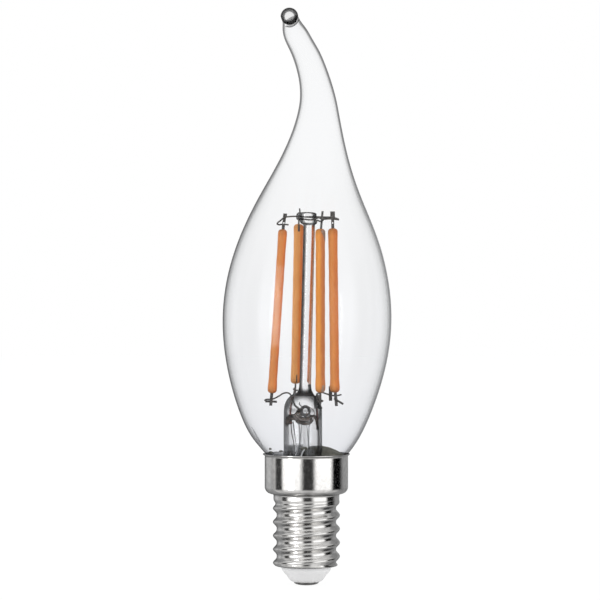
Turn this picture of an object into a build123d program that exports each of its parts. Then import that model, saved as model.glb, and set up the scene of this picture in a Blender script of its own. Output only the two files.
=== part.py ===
"""Clear candle bulb with a bent tip: LED filaments on a glass stem, in an E14 screw cap."""
import os
from math import cos, pi, radians, sin

from build123d import *

# Blown glass: radius and height of each point of its outline
bulb_diameter = 34.8
glass_wall = 0.6
neck_end = (7.6, 24.2)
neck_throat = (7.75, 25.9)
neck_mouth = (8.75, 27.3)
haunch = (13.85, 36.4)
belly = (bulb_diameter / 2, 54.8)
shoulder = (14.4, 71.1)
waist = (7.85, 86.2)
tail_root = (4.1, 98.4)
tail_middle = (3.07, 108.3)
tail_end = (2.0, 115.7)
cavity_top = 113.8
cavity_dome = 0.9
glass_rings = 22
glass_sides = 32

# Bent tail: the centreline swings out to +X, then leans over to -X, and ends in a solid bead
bend_start = 70.0
sway = 2.4
sway_height = 98.4
tip_reach = 3.5
tip_slope = 0.47
bead_height = 117.25
bead_diameter = 3.66
bead_latitudes = (0, 30, 55, 75)

# E14 screw cap: a rolled knuckle thread, right-handed, with a skirt round the glass neck
thread_pitch = 2.822
thread_major = 13.85
thread_depth = 0.8
thread_turns = 4.1
runout_turns = 0.6
thread_phase = 108.0
steps_per_turn = 8
cap_sides = 28
sheet = 0.25
shell_bottom = 3.95
shell_opening = 10.5
skirt_diameter = 17.2
skirt_bottom = 18.6
skirt_corner = 1.6
rim_height = 26.9
rim_depth = 0.7
rim_flare = 0.35

# Insulator and centre contact
contact_diameter = 4.9
contact_crown = 2.6
contact_thickness = 0.75
shank_diameter = 2.0
cone_tip_diameter = 6.0
plug_top = 6.6
plug_clearance = 0.05

# Cement ring between the neck and the skirt
cement_bottom = 21.0
cement_top = 25.7
cement_bore = 12.4

# Glass stem: a bell that closes the neck, a tube, and a top pressed flat round the seal wires
flange_thickness = 0.8
stem_offset = -0.4
stem_diameter = 7.7
stem_wall = 0.8
flare_diameter = 13.0
flare_foot = 24.6
flare_shoulder = 26.6
flare_knee_diameter = 11.2
flare_knee = 27.8
flare_throat_diameter = 8.8
flare_throat = 28.7
tube_height = 29.6
press_bottom = 34.0
press_shoulder = 36.4
press_cheek = 38.4
press_top = 39.7
press_thickness = 4.4
cheek_diameter = 6.2
crown_diameter = 2.8
meniscus = 0.8

# Exhaust tube under the press, with its hole into the bulb
exhaust_diameter = 2.2
exhaust_bore = 1.3
exhaust_end = 19.4
exhaust_tip = 1.4
exhaust_seat = 35.0
exhaust_hole = 1.5
exhaust_hole_height = 35.9

# Glass column with the button that holds the bridge wires
column_diameter = 2.3
column_root = 0.7
column_lean = 1.45
button_diameter = 3.6
button_bottom = 34.65
button_brim = 36.0
button_top = 37.1
button_edge = 0.5
rod_sides = 16

# LED filaments, numbered from the left as seen from the front
top_azimuths = (194.5, 112.0, -65.5, 29.0)
foot_azimuths = (195.0, 107.0, -63.0, 27.0)
foot_heights = (-0.1, 1.5, 0.2, 0.1)
top_ring = 5.65
foot_ring = 6.9
filament_diameter = 1.9
filament_length = 33.5
filament_end = 0.5
filament_sides = 20

# Flat filament tabs
tab_width = 0.66
tab_thickness = 0.2
tab_root = 1.5
upper_tab = 3.3
lower_tab = 2.5

# Wires
wire_diameter = 0.4
wire_sides = 10
weld_gap = 0.02
hook_reach = 1.3
hook_tail = 1.3
hook_drop = 1.0
upper_hook = 2.7
lower_hook = 1.3
bridge_levels = (36.2, 35.6)
seal_wire_spread = 5.2
seal_wire_top = 37.2
lead_rise = 0.3
lead_span = 1.6
branch_rise = 0.4

# Driver board in the cap, and its parts as width, depth and height
board_width = 8.6
board_thickness = 0.8
board_top = 17.4
lead_inset = 1.2
lead_overlap = 1.4
lead_slack = 1.4
rectifier_size = (4.7, 1.5, 3.9)
rectifier_height = 14.6
chip_size = (3.9, 1.4, 4.9)
chip_height = 9.8
capacitor_diameter = 4.0
capacitor_length = 7.0
capacitor_height = 8.4
resistor_diameter = 1.8
resistor_length = 5.6
resistor_height = 8.8
resistor_offset = 3.1

# Sizes that follow from those above
wire_radius = wire_diameter / 2
skirt_radius = skirt_diameter / 2
blank_radius = (thread_major - thread_depth) / 2
bore_radius = thread_major / 2 - thread_depth - sheet
opening_fit = shell_opening / 2 - plug_clearance
flange_bottom = neck_end[1] - flange_thickness
tube_bore = stem_diameter / 2 - stem_wall
tab_offset = tab_thickness / 2 + wire_radius + weld_gap
board_front = -board_thickness / 2

pieces = []


def finish(part, name):
    """Name a finished piece and keep it for export."""
    part.label = name
    pieces.append(part)
    return part


def ring_body(stations, sides, base=Plane.XY):
    """Flat-sided body through level rings, each with a radius and a centre given on the base plane."""
    spokes = [2 * pi * side / sides for side in range(sides)]
    levels = []
    for radius, centre in stations:
        corners = [Vector(*centre) + Vector(radius * cos(spoke), radius * sin(spoke)) for spoke in spokes]
        levels.append([base.from_local_coords(corner) for corner in corners])
    walls = [levels[0], levels[-1]]
    for low, high in zip(levels, levels[1:]):
        for side in range(sides):
            walls.append([low[side - 1], low[side], high[side], high[side - 1]])
    return Solid(Shell([Face(Wire.make_polygon(wall)) for wall in walls]))


def bent_wire(name, points):
    """Drawn wire along straight runs with mitred bends."""
    with BuildPart() as wire:
        with BuildLine() as route:
            Polyline(*points)
        with BuildSketch(Plane(origin=route.line @ 0, z_dir=route.line % 0)):
            RegularPolygon(wire_radius, wire_sides)
        sweep(transition=Transition.RIGHT)
    return finish(wire.part, name)


# Mount frame: it stands on the press and leans with the glass column
lean = radians(column_lean)
mount = Plane(
    origin=(stem_offset, 0, press_top),
    x_dir=(cos(lean), 0, -sin(lean)),
    z_dir=(sin(lean), 0, cos(lean)),
)


def ring_point(radius, azimuth, height):
    """Point on a ring round the column, in the part's own frame."""
    angle = radians(azimuth)
    return mount.from_local_coords(Vector(radius * cos(angle), radius * sin(angle), height))


# Filaments with a flat tab at each end, in planes that look along the filament and away from the column
foot_planes = []
top_planes = []
for number, foot_height in enumerate(foot_heights):
    foot = ring_point(foot_ring, foot_azimuths[number], foot_height)
    aim = ring_point(top_ring, top_azimuths[number], foot_height + filament_length)
    along = (aim - foot).normalized()
    outward = foot - ring_point(0, 0, foot_height)
    sideways = along.cross(outward)
    foot_plane = Plane(origin=foot, x_dir=sideways.cross(along), z_dir=along)
    top_plane = foot_plane.offset(filament_length)
    foot_planes.append(foot_plane)
    top_planes.append(top_plane)

    with BuildPart() as upper_terminal:
        with BuildSketch(top_plane.offset(-tab_root)):
            Rectangle(tab_width, tab_thickness)
        extrude(amount=tab_root + upper_tab)
    finish(upper_terminal.part, f"upper_tab_{number + 1}")

    with BuildPart() as lower_terminal:
        with BuildSketch(foot_plane.offset(-lower_tab)):
            Rectangle(tab_width, tab_thickness)
        extrude(amount=lower_tab + tab_root)
    finish(lower_terminal.part, f"lower_tab_{number + 1}")

    with BuildPart() as filament:
        with BuildSketch(foot_plane):
            RegularPolygon(filament_diameter / 2, filament_sides)
        extrude(amount=filament_length)
        ends = filament.faces().sort_by(Axis.Z)
        chamfer(ends[0].edges() + ends[-1].edges(), length=filament_end)
        add(upper_terminal.part, mode=Mode.SUBTRACT)
        add(lower_terminal.part, mode=Mode.SUBTRACT)
    finish(filament.part, f"filament_{number + 1}")


def hook(plane, height, drop):
    """Points of a wire that passes a tab, turns round it and comes back on its other side."""
    points = (
        (-hook_tail, tab_offset, height),
        (hook_reach, tab_offset, height),
        (hook_reach, -tab_offset, height - drop),
        (-hook_tail, -tab_offset, height - drop),
    )
    return [plane.from_local_coords(Vector(*point)) for point in points]


# Two bridge wires cross in the button, each from one filament to the opposite one
bridges = []
for name, first, second, level in (
    ("bridge_wire_outer", 0, 3, bridge_levels[0]),
    ("bridge_wire_inner", 1, 2, bridge_levels[1]),
):
    start = hook(top_planes[first], upper_hook, hook_drop)
    end = hook(top_planes[second], upper_hook, hook_drop)
    bridges.append(bent_wire(name, [*reversed(start), ring_point(0, 0, level), *end]))

# Seal wires through the press, the leads that go on to the filaments, and those down to the board
glass_wires = []
pad_y = board_front - wire_radius
for side, sign, lead_end, branch_end in (("left", -1, 0, 1), ("right", 1, 3, 2)):
    seal_x = stem_offset + sign * seal_wire_spread / 2
    seal_route = [(seal_x, 0, press_bottom), (seal_x, 0, seal_wire_top)]
    glass_wires.append(bent_wire(f"seal_wire_{side}", seal_route))

    lead_route = [
        (seal_x, 0, seal_wire_top),
        (seal_x, 0, seal_wire_top + wire_diameter),
        (seal_x + sign * lead_rise, 0, press_top),
        (seal_x + sign * lead_span, 0, press_top),
        *hook(foot_planes[lead_end], -lower_hook, hook_drop / 2),
    ]
    glass_wires.append(bent_wire(f"inner_lead_{side}", lead_route))

    branch_y = -sign * wire_diameter
    branch_route = [
        (seal_x, branch_y, seal_wire_top - wire_diameter),
        (seal_x - sign * lead_rise, branch_y - sign * lead_rise, press_top + branch_rise),
        *hook(foot_planes[branch_end], -lower_hook, hook_drop / 2),
    ]
    glass_wires.append(bent_wire(f"branch_lead_{side}", branch_route))

    pad_x = sign * (board_width / 2 - lead_inset)
    outer_route = [
        (seal_x, 0, press_bottom),
        (seal_x, 0, tube_height),
        (pad_x, pad_y, board_top + lead_slack),
        (pad_x, pad_y, board_top - lead_overlap),
    ]
    glass_wires.append(bent_wire(f"outer_lead_{side}", outer_route))


def glass_centre(height):
    """Centre of the blown glass at a height, on its bent centreline."""
    rise = min(1, max(0, (height - bend_start) / (sway_height - bend_start)))
    climb = min(1, max(0, (height - sway_height) / (bead_height - sway_height)))
    reach = sway + tip_reach
    fullness = tip_slope * (bead_height - sway_height) / reach
    swing_out = sway * rise**2 * (3 - 2 * rise)
    lean_over = reach * climb**2 * (3 - fullness - (2 - fullness) * climb)
    return (swing_out - lean_over, 0, height)


# Blown glass: level rings of the outline, threaded on the bent centreline
with BuildLine(Plane.XZ) as outline:
    Spline(neck_mouth, haunch, belly, shoulder, waist, tail_root, tail_middle, tail_end)
outline_points = [outline.line @ (ring / glass_rings) for ring in range(glass_rings + 1)]
wall_sizes = [neck_end, neck_throat, *[(point.X, point.Z) for point in outline_points]]
bead_angles = [radians(latitude) for latitude in bead_latitudes]
bead_sizes = [
    (bead_diameter / 2 * cos(angle), bead_height + bead_diameter / 2 * sin(angle)) for angle in bead_angles
]
cavity_sizes = [(radius - glass_wall, height) for radius, height in wall_sizes if height < cavity_top]
last_radius, last_height = cavity_sizes[-1]
cavity_sizes.append((last_radius / 2, last_height + cavity_dome))

with BuildPart() as glass_cavity:
    add(ring_body([(radius, glass_centre(height)) for radius, height in cavity_sizes], glass_sides))
with BuildPart() as glass_envelope:
    wall_stations = [(radius, glass_centre(height)) for radius, height in wall_sizes + bead_sizes]
    add(ring_body(wall_stations, glass_sides))
    add(glass_cavity.part, mode=Mode.SUBTRACT)
finish(glass_envelope.part, "glass_envelope")

# Glass column, fused into the press, with its button round the bridge wires
with BuildPart() as stem_column:
    column_stations = [
        (column_diameter / 2, (0, 0, -column_root)),
        (column_diameter / 2, (0, 0, button_bottom)),
        (button_diameter / 2, (0, 0, button_brim)),
        (button_diameter / 2, (0, 0, button_top - button_edge)),
        (button_diameter / 2 - button_edge, (0, 0, button_top)),
    ]
    add(ring_body(column_stations, rod_sides, mount))
    for bridge in bridges:
        add(bridge, mode=Mode.SUBTRACT)
finish(stem_column.part, "stem_column")

# Exhaust tube, drawn in and melted shut at its lower end
with BuildPart() as exhaust_tube:
    tube_stations = [
        (exhaust_bore / 2, (stem_offset, 0, exhaust_end)),
        (exhaust_diameter / 2, (stem_offset, 0, exhaust_end + exhaust_tip)),
        (exhaust_diameter / 2, (stem_offset, 0, exhaust_seat)),
    ]
    add(ring_body(tube_stations, rod_sides))
    with BuildSketch(Plane(origin=(stem_offset, 0, exhaust_end + exhaust_tip))):
        RegularPolygon(exhaust_bore / 2, rod_sides)
    extrude(amount=exhaust_seat - exhaust_end - exhaust_tip, mode=Mode.SUBTRACT)
finish(exhaust_tube.part, "exhaust_tube")

# Stem: flange under the neck, bell, tube and press, hollow up to the press
with BuildPart() as stem_flare:
    stem_stations = [
        (neck_end[0], (0, 0, flange_bottom)),
        (neck_end[0], (0, 0, neck_end[1])),
        (neck_end[0] - glass_wall, (0, 0, neck_end[1])),
        (flare_diameter / 2, (stem_offset, 0, flare_foot)),
        (flare_diameter / 2, (stem_offset, 0, flare_shoulder)),
        (flare_knee_diameter / 2, (stem_offset, 0, flare_knee)),
        (flare_throat_diameter / 2, (stem_offset, 0, flare_throat)),
        (stem_diameter / 2, (stem_offset, 0, tube_height)),
        (stem_diameter / 2, (stem_offset, 0, press_shoulder)),
        (cheek_diameter / 2, (stem_offset, 0, press_cheek)),
        (crown_diameter / 2, (stem_offset, 0, press_top)),
    ]
    add(ring_body(stem_stations, glass_sides))
    hollow_stations = [
        (flare_diameter / 2 - stem_wall, (stem_offset, 0, flange_bottom)),
        (flare_diameter / 2 - stem_wall, (stem_offset, 0, flare_shoulder - stem_wall / 2)),
        (flare_knee_diameter / 2 - stem_wall, (stem_offset, 0, flare_knee - stem_wall / 2)),
        (flare_throat_diameter / 2 - stem_wall, (stem_offset, 0, flare_throat - stem_wall / 2)),
        (tube_bore, (stem_offset, 0, tube_height)),
        (tube_bore, (stem_offset, 0, press_bottom - meniscus)),
        (tube_bore - meniscus, (stem_offset, 0, press_bottom)),
    ]
    add(ring_body(hollow_stations, glass_sides), mode=Mode.SUBTRACT)
    with BuildSketch(Plane.YZ):
        for jaw in (-1, 1):
            Polygon(
                (jaw * stem_diameter / 2, press_bottom),
                (jaw * press_thickness / 2, press_shoulder),
                (jaw * press_thickness / 2, press_top),
                (jaw * stem_diameter / 2, press_top),
                align=None,
            )
    extrude(amount=stem_diameter, both=True, mode=Mode.SUBTRACT)
    with BuildSketch(Plane(origin=(stem_offset, 0, press_bottom))):
        RegularPolygon(exhaust_diameter / 2, rod_sides)
    extrude(amount=exhaust_seat - press_bottom, mode=Mode.SUBTRACT)
    with BuildSketch(Plane(origin=(stem_offset, 0, exhaust_seat))):
        RegularPolygon(exhaust_bore / 2, rod_sides)
    extrude(amount=exhaust_hole_height - exhaust_seat, mode=Mode.SUBTRACT)
    with BuildSketch(Plane(origin=(stem_offset, 0, exhaust_hole_height), x_dir=(1, 0, 0), z_dir=(0, -1, 0))):
        RegularPolygon(exhaust_hole / 2, rod_sides)
    extrude(amount=press_thickness, mode=Mode.SUBTRACT)
    add(stem_column.part, mode=Mode.SUBTRACT)
    for wire in glass_wires:
        add(wire, mode=Mode.SUBTRACT)
finish(stem_flare.part, "stem_flare")

# Screw shell: off-centre rings that turn as they rise make the rolled right-hand thread, whose last turn
# runs out into the plain neck under the skirt
thread_steps = round(steps_per_turn * (thread_turns + runout_turns))
neck_bottom = shell_bottom + thread_pitch * thread_steps / steps_per_turn
thread_stations = []
for step in range(thread_steps + 1):
    turn = step / steps_per_turn
    throw = thread_depth / 2 * min(1, (thread_steps / steps_per_turn - turn) / runout_turns)
    angle = radians(thread_phase) + 2 * pi * turn
    centre = (throw * cos(angle), throw * sin(angle), shell_bottom + thread_pitch * turn)
    thread_stations.append((blank_radius, centre))

skirt_sizes = [
    (blank_radius, skirt_bottom),
    (skirt_radius - skirt_corner / 2, skirt_bottom + skirt_corner / 4),
    (skirt_radius - skirt_corner / 8, skirt_bottom + skirt_corner * 5 / 8),
    (skirt_radius, skirt_bottom + skirt_corner),
    (skirt_radius, rim_height - rim_depth),
    (skirt_radius + rim_flare, rim_height),
]
with BuildPart() as cap_shell:
    skirt_stations = [(radius, (0, 0, height)) for radius, height in skirt_sizes]
    add(ring_body(thread_stations + skirt_stations, cap_sides))
    inside_stations = [
        (bore_radius, (0, 0, shell_bottom + sheet)),
        (bore_radius, (0, 0, neck_bottom)),
        *[(radius - sheet, (0, 0, height + sheet)) for radius, height in skirt_sizes],
    ]
    add(ring_body(inside_stations, cap_sides), mode=Mode.SUBTRACT)
    with BuildSketch(Plane.XY.offset(shell_bottom)):
        RegularPolygon(shell_opening / 2, cap_sides)
    extrude(amount=sheet, mode=Mode.SUBTRACT)
finish(cap_shell.part, "cap_shell")

# Insulator, held in the opening of the shell
with BuildPart() as cap_insulator:
    cone_stations = [
        (cone_tip_diameter / 2, (0, 0, contact_thickness)),
        (opening_fit, (0, 0, shell_bottom)),
        (opening_fit, (0, 0, shell_bottom + sheet)),
    ]
    add(ring_body(cone_stations, cap_sides))
    with BuildSketch(Plane.XY.offset(shell_bottom + sheet)):
        RegularPolygon(bore_radius - plug_clearance, cap_sides)
    extrude(amount=plug_top - shell_bottom - sheet)
    with BuildSketch(Plane.XY.offset(contact_thickness)):
        RegularPolygon(shank_diameter / 2, rod_sides)
    extrude(amount=plug_top - contact_thickness, mode=Mode.SUBTRACT)
finish(cap_insulator.part, "cap_insulator")

# Centre contact, a flat-crowned button riveted through the insulator
with BuildPart() as centre_contact:
    button_stations = [
        (contact_crown / 2, (0, 0, 0)),
        (contact_diameter / 2, (0, 0, contact_thickness / 2)),
        (contact_diameter / 2, (0, 0, contact_thickness)),
    ]
    add(ring_body(button_stations, cap_sides))
    with BuildSketch(Plane.XY.offset(contact_thickness)):
        RegularPolygon(shank_diameter / 2, rod_sides)
    extrude(amount=plug_top - contact_thickness)
finish(centre_contact.part, "centre_contact")

# Cement, filling the skirt round the neck and under the flange
with BuildPart() as capping_cement:
    with BuildSketch(Plane.XY.offset(cement_bottom)):
        RegularPolygon(skirt_radius - sheet, cap_sides)
        RegularPolygon(cement_bore / 2, cap_sides, mode=Mode.SUBTRACT)
    extrude(amount=cement_top - cement_bottom)
    add(glass_envelope.part, mode=Mode.SUBTRACT)
    add(glass_cavity.part, mode=Mode.SUBTRACT)
    add(stem_flare.part, mode=Mode.SUBTRACT)
finish(capping_cement.part, "capping_cement")

# Driver board, standing on the insulator, with its parts on both faces
with BuildPart() as driver_board:
    with BuildSketch(Plane.XY.offset(plug_top)):
        Rectangle(board_width, board_thickness)
    extrude(amount=board_top - plug_top)
finish(driver_board.part, "driver_board")

for name, size, height in (
    ("bridge_rectifier", rectifier_size, rectifier_height),
    ("driver_chip", chip_size, chip_height),
):
    with BuildPart() as package:
        with Locations((0, board_thickness / 2 + size[1] / 2, height)):
            Box(*size)
    finish(package.part, name)

for name, offset, diameter, bottom, length in (
    ("smoothing_capacitor", 0, capacitor_diameter, capacitor_height, capacitor_length),
    ("fusible_resistor", resistor_offset, resistor_diameter, resistor_height, resistor_length),
):
    with BuildPart() as can:
        with BuildSketch(Plane(origin=(offset, board_front - diameter / 2, bottom))):
            Circle(diameter / 2)
        extrude(amount=length)
    finish(can.part, name)

# Wires from the board to the centre contact and to the inside of the shell
bent_wire("contact_lead", [(0, pad_y, plug_top), (0, pad_y, plug_top + lead_overlap)])
shell_lead_x = board_width / 2 - lead_inset
shell_lead_height = skirt_bottom + sheet
bent_wire(
    "shell_lead",
    [
        (shell_lead_x, -pad_y, board_top - lead_overlap),
        (shell_lead_x, -pad_y, shell_lead_height),
        (blank_radius - sheet - wire_radius, -pad_y, shell_lead_height),
    ],
)

os.makedirs("parts", exist_ok=True)
for piece in pieces:
    export_step(piece, f"parts/{piece.label}.step")
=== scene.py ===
import math

import bpy
import numpy as np
from mathutils import Matrix, Vector


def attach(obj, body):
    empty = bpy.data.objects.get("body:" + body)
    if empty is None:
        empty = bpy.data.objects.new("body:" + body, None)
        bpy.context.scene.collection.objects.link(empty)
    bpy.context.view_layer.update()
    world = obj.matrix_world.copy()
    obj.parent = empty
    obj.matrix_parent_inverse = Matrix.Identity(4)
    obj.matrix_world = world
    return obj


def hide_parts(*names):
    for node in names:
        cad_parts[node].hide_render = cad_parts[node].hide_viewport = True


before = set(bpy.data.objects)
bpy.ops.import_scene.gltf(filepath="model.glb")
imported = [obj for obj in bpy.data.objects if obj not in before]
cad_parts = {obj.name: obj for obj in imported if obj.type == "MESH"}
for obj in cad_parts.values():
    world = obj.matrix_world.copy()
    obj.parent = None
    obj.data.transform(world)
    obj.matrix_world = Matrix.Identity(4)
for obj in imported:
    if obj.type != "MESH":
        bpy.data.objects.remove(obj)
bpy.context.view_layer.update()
mm = 0.001
print("frame loaded, nodes:", len(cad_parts))


# small mesh tools, all in millimetres of the CAD frame

def clamp(value):
    return min(1, max(0, value))


def ease(share):
    # slow at both ends
    return share * share * (3 - 2 * share)


def upright(x, y, z):
    return (x, y, z)


def lathe(profile, sides, place=upright, closed=False):
    # rings of points round +Z, a radius of 0 is one point on the axis
    verts, rings, faces = [], [], []
    for radius, height in profile:
        start = len(verts)
        if radius < 1e-6:
            rings.append([start] * sides)
            verts.append(place(0, 0, height))
            continue
        rings.append(list(range(start, start + sides)))
        for side in range(sides):
            angle = 2 * math.pi * side / sides
            verts.append(place(radius * math.cos(angle), radius * math.sin(angle), height))
    pairs = list(zip(rings, rings[1:]))
    if closed:
        pairs.append((rings[-1], rings[0]))
    for low, high in pairs:
        for side in range(sides):
            after = (side + 1) % sides
            face = [low[side], low[after], high[after], high[side]]
            face = [v for n, v in enumerate(face) if v not in face[:n]]  # triangles at the axis
            if len(face) > 2:
                faces.append(face)
    return verts, faces


def smoothLine(points, steps):
    # natural cubic through the points, spaced by their distances
    points = np.array(points, float)
    knots = np.concatenate([[0], np.cumsum(np.linalg.norm(np.diff(points, axis=0), axis=1))])
    gaps = np.diff(knots)
    count = len(points)
    matrix = np.eye(count)
    right = np.zeros_like(points)
    for n in range(1, count - 1):
        matrix[n, n - 1:n + 2] = gaps[n - 1], 2 * (gaps[n - 1] + gaps[n]), gaps[n]
        right[n] = 6 * ((points[n + 1] - points[n]) / gaps[n] - (points[n] - points[n - 1]) / gaps[n - 1])
    bends = np.linalg.solve(matrix, right)
    made = []
    for t in np.linspace(0, knots[-1], steps):
        n = min(max(np.searchsorted(knots, t) - 1, 0), count - 2)
        a, b = (knots[n + 1] - t) / gaps[n], (t - knots[n]) / gaps[n]
        made.append(a * points[n] + b * points[n + 1]
                    + ((a ** 3 - a) * bends[n] + (b ** 3 - b) * bends[n + 1]) * gaps[n] ** 2 / 6)
    return [tuple(p) for p in made]


def arc(centre, radius, start, end, steps):
    angles = [math.radians(start + (end - start) * n / steps) for n in range(steps + 1)]
    return [(centre[0] + radius * math.cos(a), centre[1] + radius * math.sin(a)) for a in angles]


def ball(centre, radii, sides=32):
    # rows of points from near one pole to near the other
    rows = [(math.cos(a), math.sin(a)) for a in np.linspace(-1.45, 1.45, 17)]

    def place(x, y, z):
        return tuple(c + r * p for c, r, p in zip(centre, radii, (x, y, z)))

    return lathe([(0, -1)] + rows + [(0, 1)], sides, place)


def gridQuads(rows, columns):
    width = columns + 1
    starts = [k * width + m for k in range(rows) for m in range(columns)]
    return [[v, v + 1, v + width + 1, v + width] for v in starts]


def shellFaces(quads, count):
    # a sheet, its back that lies count points further on, and the rim between the two
    edges = {(a, b) for q in quads for a, b in zip(q, q[1:] + q[:1])}
    back = [[v + count for v in reversed(q)] for q in quads]
    rim = [[b, a, a + count, b + count] for a, b in sorted(edges) if (b, a) not in edges]
    return quads + back + rim


def settle(piece, nodes):
    bpy.context.scene.collection.objects.link(piece)
    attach(piece, "root")
    if nodes:
        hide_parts(*nodes)


def addPiece(name, shape, finishes, nodes=(), pickFinish=None, sharp=40):
    # shape is a list of points with a list of faces
    verts, faces = shape
    mesh = bpy.data.meshes.new(name)
    mesh.from_pydata([Vector(v) * mm for v in verts], [], faces)
    for finish in finishes:
        mesh.materials.append(finish)
    for face in mesh.polygons:
        face.use_smooth = True
        if pickFinish:
            face.material_index = pickFinish(face.index, face.center / mm, face.normal)
    mesh.set_sharp_from_angle(angle=math.radians(sharp))
    settle(bpy.data.objects.new(name, mesh), nodes)
    return mesh


def markPoints(mesh, name, values):
    mesh.attributes.new(name, "FLOAT", "POINT").data.foreach_set("value", values)


def addWire(name, routes, radius, finish, nodes=()):
    # one or more round strands, each bent smoothly through its points
    curve = bpy.data.curves.new(name, "CURVE")
    curve.dimensions = "3D"
    curve.bevel_depth = radius * mm
    curve.bevel_resolution = 4
    curve.resolution_u = 8
    curve.use_fill_caps = True
    for route in routes:
        spline = curve.splines.new("BEZIER")
        spline.bezier_points.add(len(route) - 1)
        for knot, point in zip(spline.bezier_points, route):
            knot.co = Vector(point) * mm
            knot.handle_left_type = knot.handle_right_type = "AUTO"
    curve.materials.append(finish)
    settle(bpy.data.objects.new(name, curve), nodes)


# small node tools

def newFinish(name):
    finish = bpy.data.materials.new(name)
    finish.use_nodes = True
    finish.node_tree.nodes.clear()
    return finish, finish.node_tree


def node(tree, kind, **values):
    made = tree.nodes.new("ShaderNode" + kind)
    for key, value in values.items():
        setattr(made, key, value)
    return made


def feed(tree, target, value):
    if isinstance(value, bpy.types.NodeSocket):
        tree.links.new(value, target)
    else:
        target.default_value = value


def maths(tree, operation, first, second=0):
    made = node(tree, "Math", operation=operation)
    feed(tree, made.inputs[0], first)
    feed(tree, made.inputs[1], second)
    return made.outputs[0]


def plus(tree, first, second):
    return maths(tree, "ADD", first, second)


def minus(tree, first, second):
    return maths(tree, "SUBTRACT", first, second)


def times(tree, first, second):
    return maths(tree, "MULTIPLY", first, second)


def ramp(tree, source, stops):
    # stops hold a place and a grey or a colour
    made = node(tree, "ValToRGB")
    while len(made.color_ramp.elements) < len(stops):
        made.color_ramp.elements.new(0.5)
    for element, (place, colour) in zip(made.color_ramp.elements, stops):
        element.position = place
        element.color = (*colour, 1) if isinstance(colour, tuple) else (colour, colour, colour, 1)
    feed(tree, made.inputs[0], source)
    return made.outputs[0]


def places(tree):
    # X, Y and Z of the shaded point in millimetres
    scale = node(tree, "VectorMath", operation="SCALE")
    scale.inputs["Scale"].default_value = 1 / mm
    feed(tree, scale.inputs[0], node(tree, "TexCoord").outputs["Object"])
    split = node(tree, "SeparateXYZ")
    feed(tree, split.inputs[0], scale.outputs[0])
    return split.outputs


def between(tree, value, low, high):
    # 0 at low, 1 at high
    made = node(tree, "MapRange")
    feed(tree, made.inputs["Value"], value)
    made.inputs["From Min"].default_value = low
    made.inputs["From Max"].default_value = high
    return made.outputs[0]


def grain(tree, size, detail=3, stretch=(1, 1, 1)):
    # noise whose lumps are about that many millimetres wide
    turn = node(tree, "Mapping")
    turn.inputs["Scale"].default_value = stretch
    feed(tree, turn.inputs["Vector"], node(tree, "TexCoord").outputs["Object"])
    made = node(tree, "TexNoise")
    made.inputs["Scale"].default_value = 1 / (size * mm)
    made.inputs["Detail"].default_value = detail
    feed(tree, made.inputs["Vector"], turn.outputs[0])
    return made.outputs[0]


def jittered(tree, value, size, amount):
    return plus(tree, value, times(tree, minus(tree, grain(tree, size), 0.5), amount))


def mixColour(tree, share, first, second, blend="MIX"):
    made = node(tree, "Mix", data_type="RGBA", blend_type=blend)
    feed(tree, made.inputs["Factor"], share)
    colours = [s for s in made.inputs if s.type == "RGBA"]
    for socket, colour in zip(colours, (first, second)):
        feed(tree, socket, colour if isinstance(colour, bpy.types.NodeSocket) else (*colour, 1))
    return [s for s in made.outputs if s.type == "RGBA"][0]


def tint(tree, first, second, share=1):
    return mixColour(tree, share, first, second, "MULTIPLY")


def bumpFrom(tree, height, strength, depth):
    made = node(tree, "Bump")
    feed(tree, made.inputs["Strength"], strength)
    made.inputs["Distance"].default_value = depth * mm
    feed(tree, made.inputs["Height"], height)
    return made.outputs[0]


def facing(tree, standing=False):
    # 0 where the surface is seen square on, 1 where it is seen edge on
    side = node(tree, "LayerWeight").outputs["Facing"]
    if not standing:
        return side
    axis = node(tree, "CombineXYZ")  # an upright rod counts as square on from above too
    axis.inputs["Z"].default_value = 1.0
    tilt = node(tree, "LayerWeight")
    feed(tree, tilt.inputs["Normal"], axis.outputs[0])
    climb = minus(tree, 1, tilt.outputs["Facing"])
    level = maths(tree, "SQRT", minus(tree, 1.01, times(tree, climb, climb)))  # stays above 0
    square = maths(tree, "DIVIDE", minus(tree, 1, side), level)
    return minus(tree, 1, maths(tree, "MINIMUM", square, 1))


def mixShaders(tree, share, first, second):
    made = node(tree, "MixShader")
    for socket, value in zip(made.inputs, (share, first, second)):
        feed(tree, socket, value)
    return made.outputs[0]


def show(tree, shader):
    feed(tree, node(tree, "OutputMaterial").inputs["Surface"], shader)


def paint(name, colour, metal=0, rough=0.4, bump=None, coat=0):
    finish, tree = newFinish(name)
    shader = node(tree, "BsdfPrincipled")
    feed(tree, shader.inputs["Base Color"], colour(tree))
    shader.inputs["Roughness"].default_value = rough
    shader.inputs["Metallic"].default_value = metal
    shader.inputs["Coat Weight"].default_value = coat
    if bump:
        size, strength, depth = bump
        feed(tree, shader.inputs["Normal"], bumpFrom(tree, grain(tree, size), strength, depth))
    show(tree, shader.outputs[0])
    return finish


def speckled(low, high, size):
    return lambda tree: ramp(tree, grain(tree, size, 4), [(0.3, low), (0.7, high)])


# glass finishes

glass = {
    "waveSize": 6, "gloss": 0.04, "glossTone": (0.97, 0.98, 1, 1), "grazing": 5,
    "ior": 1.5, "lumps": (1.5, 0.1),
}


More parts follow.
